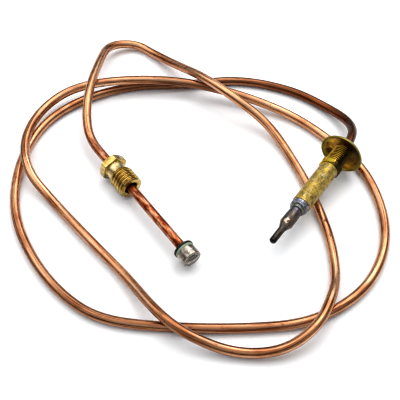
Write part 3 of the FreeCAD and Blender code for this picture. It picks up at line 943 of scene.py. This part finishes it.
def make_lock_nut():
    start, end, corner = head_line.span("lock_nut")
    apothem = corner * math.cos(math.pi / 6)
    bore = 3.04 * MM
    roll = 14.0

    def profile_at(angle):
        corners = hexagon_points(angle, start, end, apothem, bore, bore, True)
        points = rounded(corners)
        return points + [points[0]]

    turned = Turned()
    turned.strip(profile_at, columns=HEXAGON_COLUMNS)
    brass = lock_nut_brass()
    turned.finish("lock_nut_hexagon", head_line, "lock_nut_body", "lock_nut_brass", brass, ["lock_nut"], roll)


def make_sleeve():
    start, end, radius = head_line.span("head_sleeve")
    inner = 2.4 * MM
    corners = [
        (start, inner),
        (start, radius, 0.2 * MM),
        (end, radius, 0.14 * MM),
        (end, inner),
    ]
    simple_turned("brass_sleeve", corners, head_line, "sleeve_brass", sleeve_brass(), ["head_sleeve"])


def make_ferrule():
    tail, end, radius = head_line.span("steel_ferrule")
    start = head_line.span("head_sleeve")[1]
    bore = 1.6 * MM
    corners = [
        (tail, bore),
        (tail, 2.4 * MM),
        (start, 2.4 * MM),
        (start, radius, 0.15 * MM),
        (end, radius, 0.35 * MM),
        (end, bore),
    ]
    blues = (tint(64, 64, 74), tint(126, 126, 138), tint(196, 196, 208), tint(36, 34, 38))
    steel = tinted_steel("blue_steel", *blues)
    simple_turned("blue_ferrule", corners, head_line, "ferrule_steel", steel, ["steel_ferrule"])
    ring_start, ring_end, ring_radius = head_line.span("ferrule_step_ring")
    corners = [
        (ring_start, bore),
        (ring_start, ring_radius),
        (ring_end, ring_radius, 0.3 * MM),
        (ring_end, bore),
    ]
    greens = (tint(62, 66, 64), tint(104, 108, 96), tint(140, 146, 128), tint(34, 34, 34))
    steel = tinted_steel("green_steel", *greens)
    simple_turned("step_ring", corners, head_line, "ring_steel", steel, ["ferrule_step_ring"])


def make_probe():
    tail, end, radius = head_line.span("thermo_sheath")
    ring_end = head_line.span("ferrule_step_ring")[1]
    tip = 1.1 * MM
    shoulder = ring_end + 5.9 * MM
    tip_start = shoulder + 2.4 * MM
    corners = [
        (tail, 1.0 * MM),
        (tail, 1.6 * MM),
        (ring_end - 0.2 * MM, 1.6 * MM),
        (ring_end - 0.2 * MM, radius - 0.15 * MM),
        (ring_end + 2.5 * MM, radius, 1.0 * MM),
        (shoulder, radius, 0.9 * MM),
        (tip_start, tip, 0.9 * MM),
        (end, tip),
        (end, 0.4 * MM),
        (shoulder, 0.4 * MM),
        (shoulder, 1.0 * MM),
    ]

    def wobble(station, angle):
        """The sheath is crimped a little flat and isn't quite true."""
        crimp = 0.03 * math.cos(2 * angle) * max(0.0, 1 - abs(station - shoulder) / (5 * MM))
        return 1 + crimp + 0.012 * noise.noise(Vector((station / MM, math.cos(angle), math.sin(angle))))

    soot = sooty_sheath()
    simple_turned("probe_sheath", corners, head_line, "sheath_steel", soot, ["thermo_sheath"], wobble=wobble)
    make_bead(tip)


def make_bead(tip):
    """The ball of weld metal that closes a probe whose tip has the given radius."""
    tip_end, bead_radius = head_line.span("weld_bead")[1:]
    steps = 14
    centre = tip_end - bead_radius
    start = math.acos(min(1.0, (tip - 0.02 * MM) / bead_radius))
    arc = [start + (math.pi / 2 - start) * step / steps for step in range(steps + 1)]
    points = [
        (centre - 0.6 * MM, 0.0),
        (centre - 0.6 * MM, tip + 0.01 * MM),
        (centre - 0.2 * MM, tip + 0.05 * MM),
    ]
    points += [(centre + bead_radius * math.sin(a), bead_radius * math.cos(a)) for a in arc]

    def bead_profile(angle):
        around = Vector((0, math.cos(angle), math.sin(angle)))
        return [(x, r * (1 + 0.05 * noise.noise(around + Vector((x / MM, 0, 0))))) for x, r in points]

    bead = Turned()
    bead.strip(bead_profile)
    bead.finish("black_bead", head_line, HEAD, "bead_metal", bead_metal(), ["weld_bead"])


# --- the contact end ---

BUSH_RADIUS = 1.6 * MM


def make_union_nut():
    """The hexagon, its neck and the thread, round a bore that clears the lead."""
    start, end, corner = contact_line.span("connection_nut")
    apothem = corner * math.cos(math.pi / 6)
    shoulder = start + 2.5 * MM
    thread_start = start + 5.6 * MM
    neck = 3.27 * MM
    bore = 2.25 * MM
    major = 4.0 * MM
    pitch = 1.25 * MM
    depth = 0.74 * MM
    lead_in = 0.05 * MM
    lead_out = depth - 0.45 * MM
    roll = 18.3
    turned = Turned()
    radius_at = thread_strip(turned, thread_start, end, major, pitch, depth, lead_in, lead_out)

    def rear_profile(angle):
        corners = hexagon_points(angle, start, shoulder, apothem, bore, neck, False)
        corners += [(thread_start - 0.15 * MM, neck), (thread_start, radius_at(thread_start, angle))]
        corners[-3] = (shoulder, neck, 0.25 * MM)
        return rounded(corners)

    def front_profile(angle):
        chamfer = 0.25 * MM
        return [(end, radius_at(end, angle)), (end, bore + chamfer), (end - chamfer, bore), (start, bore)]

    turned.strip(rear_profile, columns=HEXAGON_COLUMNS)
    turned.strip(front_profile, columns=HEXAGON_COLUMNS)
    brass = union_brass()
    nodes = ["connection_nut"]
    return turned.finish("union_nut", contact_line, "union_nut_body", "nut_brass", brass, nodes, roll)


def make_collar():
    """The black collar, with a thin pale edge at the rear."""
    start, end, radius = contact_line.span("contact_collar")

    def rim_marks(station, point_radius):
        at_edge = station < start + 0.06 * MM and point_radius > radius - 0.4 * MM
        return "rub", float(at_edge)

    corners = [
        (start, 1.5 * MM),
        (start, radius - 0.3 * MM),
        (start, radius, 0.12 * MM),
        (end, radius, 0.12 * MM),
        (end, 1.5 * MM),
    ]
    metal = collar_metal()
    nodes = ["contact_collar"]
    return simple_turned("black_collar", corners, contact_line, "collar_metal", metal, nodes, rim_marks)


def make_washer():
    start, end, radius = contact_line.span("insulating_washer")
    corners = [
        (start, BUSH_RADIUS),
        (start, radius, 0.06 * MM),
        (end, radius, 0.1 * MM),
        (end, BUSH_RADIUS),
    ]
    return simple_turned("green_washer", corners, contact_line, "fibre", green_fibre(), ["insulating_washer"])


def make_button():
    """The tinned button, with a pocket for the bush, a hole for the wire and a well for the solder."""
    start, end, radius = contact_line.span("contact_button")
    well = 1.2 * MM
    wire = 0.5 * MM
    well_floor = end - 1.0 * MM
    pocket_floor = start + 0.9 * MM
    corners = [
        (start, BUSH_RADIUS),
        (start, radius, 0.15 * MM),
        (end, radius, 0.35 * MM),
        (end, well),
        (well_floor, well),
        (well_floor, wire),
        (pocket_floor, wire),
        (pocket_floor, BUSH_RADIUS),
    ]
    tin = tinned_button()
    return simple_turned("tinned_button", corners, contact_line, "button_silver", tin, ["contact_button"])


def make_solder():
    """The solder: a peg in the button's well and a low lumpy dome over its face."""
    end = contact_line.span("contact_button")[1]
    peg_start, dome_end, _ = contact_line.span("contact_solder")
    peg = 1.19 * MM
    cap = 2.6 * MM
    under = end - 0.01 * MM
    rise = dome_end - end
    points = [(peg_start, 0.0), (peg_start, peg), (under, peg), (under, cap)]
    for share in (0.97, 0.9, 0.8, 0.65, 0.5, 0.35, 0.2, 0.08, 0):
        points.append((end + rise * (1 - share ** 2), cap * share))

    def dome_profile(angle):
        around = Vector((0, math.cos(angle), math.sin(angle)))
        lumps = []
        for x, r in points:
            lump = 0.06 * MM * noise.noise(around * r / (0.8 * MM)) if x > end else 0.0
            lumps.append((x + lump, r))
        return lumps

    dome = Turned()
    dome.strip(dome_profile)
    return dome.finish("solder_dome", contact_line, HEAD, "solder", pitted_solder(), ["contact_solder"])


def dress_cad_nodes():
    """Finishes for the CAD nodes that stay: the braze collar and the pieces inside."""
    # node, material name, dark and light colours, roughness, metallic and grain in millimetres
    finishes = (
        ("rear_braze_collar", "braze", (120, 92, 48), (190, 164, 108), 0.4, 1.0, 0.6),
        ("cold_junction_crimp", "crimp_brass", (168, 132, 60), (206, 172, 96), 0.35, 1.0, 0.8),
        ("inner_insulating_sleeve", "liner", (196, 184, 148), (222, 212, 180), 0.7, 0.0, 0.5),
        ("element_wire", "constantan", (128, 120, 104), (172, 162, 144), 0.35, 1.0, 0.3),
        ("ceramic_insulator", "ceramic", (224, 218, 204), (240, 236, 226), 0.6, 0.0, 0.4),
        ("insulating_bush", "bush", (142, 150, 132), (170, 176, 158), 0.6, 0.0, 0.4),
    )
    for node, name, dark, light, roughness, metallic, grain in finishes:
        material = plain_finish(name, tint(*dark), tint(*light), roughness, metallic, grain * MM)
        mesh = frame["nodes"][node].data
        mesh.materials.clear()
        mesh.materials.append(material)


make_camera()
copper_lead, lead_line = make_lead()
make_stage()
make_flange()
make_stem()
make_lock_nut()
make_sleeve()
make_ferrule()
make_probe()
nut_piece = make_union_nut()
contact_pieces = [make_collar(), make_washer(), make_button(), make_solder()]
dress_cad_nodes()
head_line.span("rear_braze_collar")[0]
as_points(lead_line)
